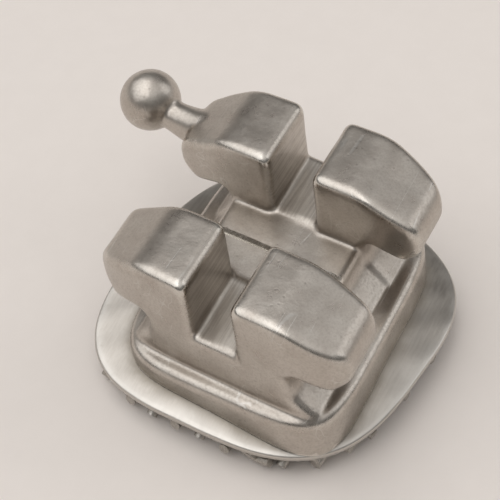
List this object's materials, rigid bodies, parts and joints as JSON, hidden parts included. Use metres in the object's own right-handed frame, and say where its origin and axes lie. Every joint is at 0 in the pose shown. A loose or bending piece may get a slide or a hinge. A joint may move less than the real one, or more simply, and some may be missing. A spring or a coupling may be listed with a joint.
{
  "type": "orthodontic bracket",
  "caption": "Low-profile steel twin bracket for an upper left canine: tie wings around an archwire slot, a ball hook, and a curved foil pad with a retention mesh.",
  "frame": {"origin": "under the middle of the bonding pad, in the plane that the pad's rim rests on", "axes": "+X along the archwire slot towards distal, +Y towards the gum, +Z away from the tooth; the slot's floor leans 7 degrees towards the gum, and the pad is turned 8 degrees about Z"},
  "size_m": [0.0041, 0.0047, 0.0023],
  "materials": {
    "moulded_steel": "injection-moulded stainless steel, tumbled to a soft satin",
    "foil_steel": "rolled stainless foil, smooth satin",
    "wire_steel": "woven stainless wire, sandblasted dull"
  },
  "bodies": {
    "root": {"bracket_body": "moulded_steel", "base_foil": "foil_steel", "retention_mesh": "wire_steel"}
  },
  "joints": []
}
